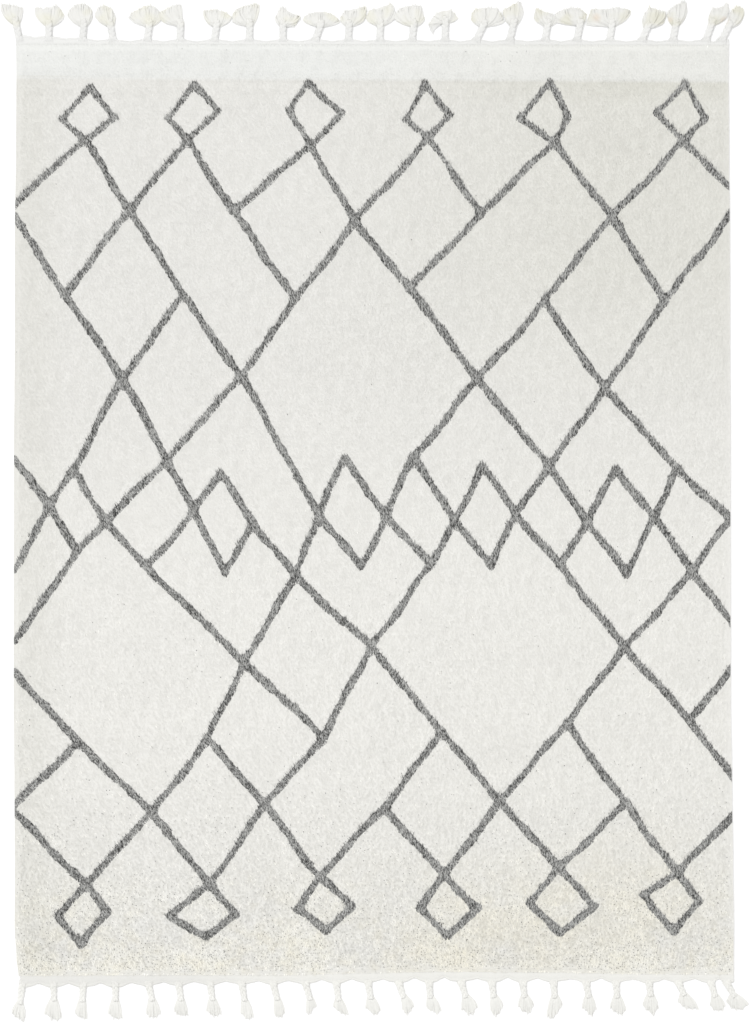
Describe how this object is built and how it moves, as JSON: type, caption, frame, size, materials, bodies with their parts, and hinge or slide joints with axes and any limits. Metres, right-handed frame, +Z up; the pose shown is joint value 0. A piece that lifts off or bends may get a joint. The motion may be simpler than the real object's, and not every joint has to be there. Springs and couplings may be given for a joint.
{
  "type": "cut-pile rug with plaited tassels at both ends",
  "caption": "Rectangular cut-pile rug lying flat, with overcast sides and a woven web with plaited tassels at each short end.",
  "frame": {"origin": "on the floor under the middle of the rug, tassels included", "axes": "+X across the rug, +Y along it towards the end with the combed band, +Z up out of the pile"},
  "size_m": [1.6736, 2.2908, 0.0171],
  "materials": {
    "pile": "soft cream cut pile with a mid-grey diamond lattice in the same pile",
    "side_cord": "cream yarn overcast over the side",
    "fringe_yarn": "matte cream yarn, plaited and brushed out at the ends"
  },
  "bodies": {
    "root": {"pile_body": "pile", "edge_left": "side_cord", "edge_right": "side_cord", "fringe_top": "fringe_yarn", "fringe_bottom": "fringe_yarn"}
  },
  "joints": []
}
